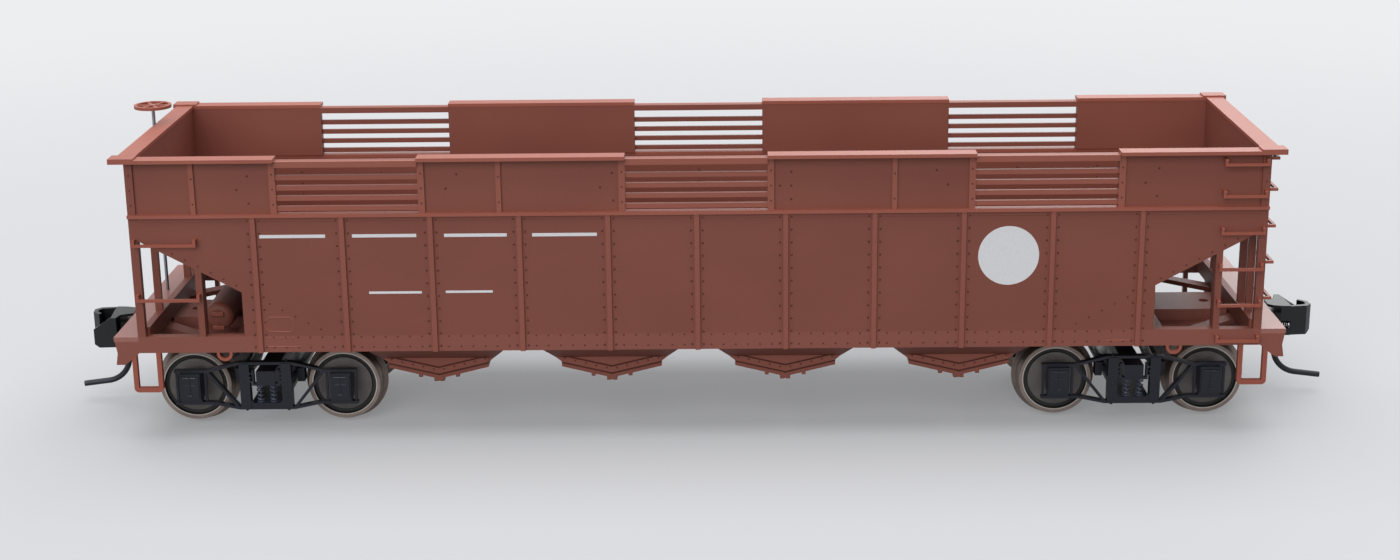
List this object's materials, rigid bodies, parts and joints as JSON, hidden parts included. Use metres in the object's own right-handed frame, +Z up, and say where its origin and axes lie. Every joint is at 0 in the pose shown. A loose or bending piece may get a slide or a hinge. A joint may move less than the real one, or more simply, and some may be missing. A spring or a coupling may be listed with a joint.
{
  "type": "scale model open hopper wagon",
  "caption": "HO scale model of an open hopper wagon with slatted rack sides, bottom pockets, swivelling trucks, rolling wheelsets and swinging couplers.",
  "frame": {"origin": "on the plane through the lowest points of the wheel flanges, at the middle of the wagon", "axes": "+X along the wagon, away from the brake wheel; +Y across it; +Z up"},
  "size_m": [0.1662, 0.036, 0.0396],
  "materials": {
    "oxide_brown": "moulded, matt",
    "truck_black": "moulded, satin",
    "wheel_metal": "turned, browned",
    "axle_metal": "turned",
    "coupler_black": "moulded, satin",
    "pin_metal": "blackened wire",
    "staff_metal": "drawn wire"
  },
  "bodies": {
    "body": {"belts": "oxide_brown", "bolsters": "oxide_brown", "braces": "oxide_brown", "brake_cylinder": "oxide_brown", "brake_staff": "staff_metal", "brake_wheel": "oxide_brown", "centre_sill": "oxide_brown", "chutes": "oxide_brown", "corner_posts": "oxide_brown", "coupler_boxes": "oxide_brown", "decks": "oxide_brown", "doors": "oxide_brown", "end_frames": "oxide_brown", "end_sills": "oxide_brown", "end_walls": "oxide_brown", "grab_irons": "oxide_brown", "hood": "oxide_brown", "rack_side_1": "oxide_brown", "rack_side_2": "oxide_brown", "ridges": "oxide_brown", "rim": "oxide_brown", "second_posts": "oxide_brown", "side_posts": "oxide_brown", "side_sheet_1": "oxide_brown", "side_sheet_2": "oxide_brown", "side_sills": "oxide_brown", "sill_covers": "oxide_brown", "slope_sheet_1": "oxide_brown", "slope_sheet_2": "oxide_brown", "steps": "oxide_brown", "tow_rings": "oxide_brown"},
    "truck_1": {"arch_frames_1": "truck_black", "truck_bolster_1": "truck_black", "truck_plank_1": "truck_black", "brake_beams_1": "truck_black", "springs_1": "truck_black"},
    "truck_2": {"arch_frames_2": "truck_black", "truck_bolster_2": "truck_black", "truck_plank_2": "truck_black", "brake_beams_2": "truck_black", "springs_2": "truck_black"},
    "wheelset_1": {"wheels_1": "wheel_metal", "axle_1": "axle_metal"},
    "wheelset_2": {"wheels_2": "wheel_metal", "axle_2": "axle_metal"},
    "wheelset_3": {"wheels_3": "wheel_metal", "axle_3": "axle_metal"},
    "wheelset_4": {"wheels_4": "wheel_metal", "axle_4": "axle_metal"},
    "draw_1": {"coupler_1": "coupler_black", "knuckle_1": "coupler_black", "trip_pin_1": "pin_metal"},
    "draw_2": {"coupler_2": "coupler_black", "knuckle_2": "coupler_black", "trip_pin_2": "pin_metal"}
  },
  "joints": [
    {"name": "truck_1_swivel", "type": "hinge", "parent": "body", "child": "truck_1", "pos_m": [-0.05583, 0, 0.0093], "axis": [0, 0, 1], "range_deg": [-10, 10]},
    {"name": "truck_2_swivel", "type": "hinge", "parent": "body", "child": "truck_2", "pos_m": [0.05583, 0, 0.0093], "axis": [0, 0, 1], "range_deg": [-10, 10]},
    {"name": "wheelset_1_roll", "type": "hinge", "parent": "truck_1", "child": "wheelset_1", "pos_m": [-0.06553, 0, 0.00535], "axis": [0, 1, 0], "continuous": true},
    {"name": "wheelset_2_roll", "type": "hinge", "parent": "truck_1", "child": "wheelset_2", "pos_m": [-0.04613, 0, 0.00535], "axis": [0, 1, 0], "continuous": true},
    {"name": "wheelset_3_roll", "type": "hinge", "parent": "truck_2", "child": "wheelset_3", "pos_m": [0.04613, 0, 0.00535], "axis": [0, 1, 0], "continuous": true},
    {"name": "wheelset_4_roll", "type": "hinge", "parent": "truck_2", "child": "wheelset_4", "pos_m": [0.06553, 0, 0.00535], "axis": [0, 1, 0], "continuous": true},
    {"name": "coupler_1_swing", "type": "hinge", "parent": "body", "child": "draw_1", "pos_m": [-0.0671, 0, 0.0105], "axis": [0, 0, 1], "range_deg": [-8, 8], "stiffness_Nm_per_rad": 0.0003},
    {"name": "coupler_2_swing", "type": "hinge", "parent": "body", "child": "draw_2", "pos_m": [0.0671, 0, 0.0105], "axis": [0, 0, 1], "range_deg": [-8, 8], "stiffness_Nm_per_rad": 0.0003}
  ]
}
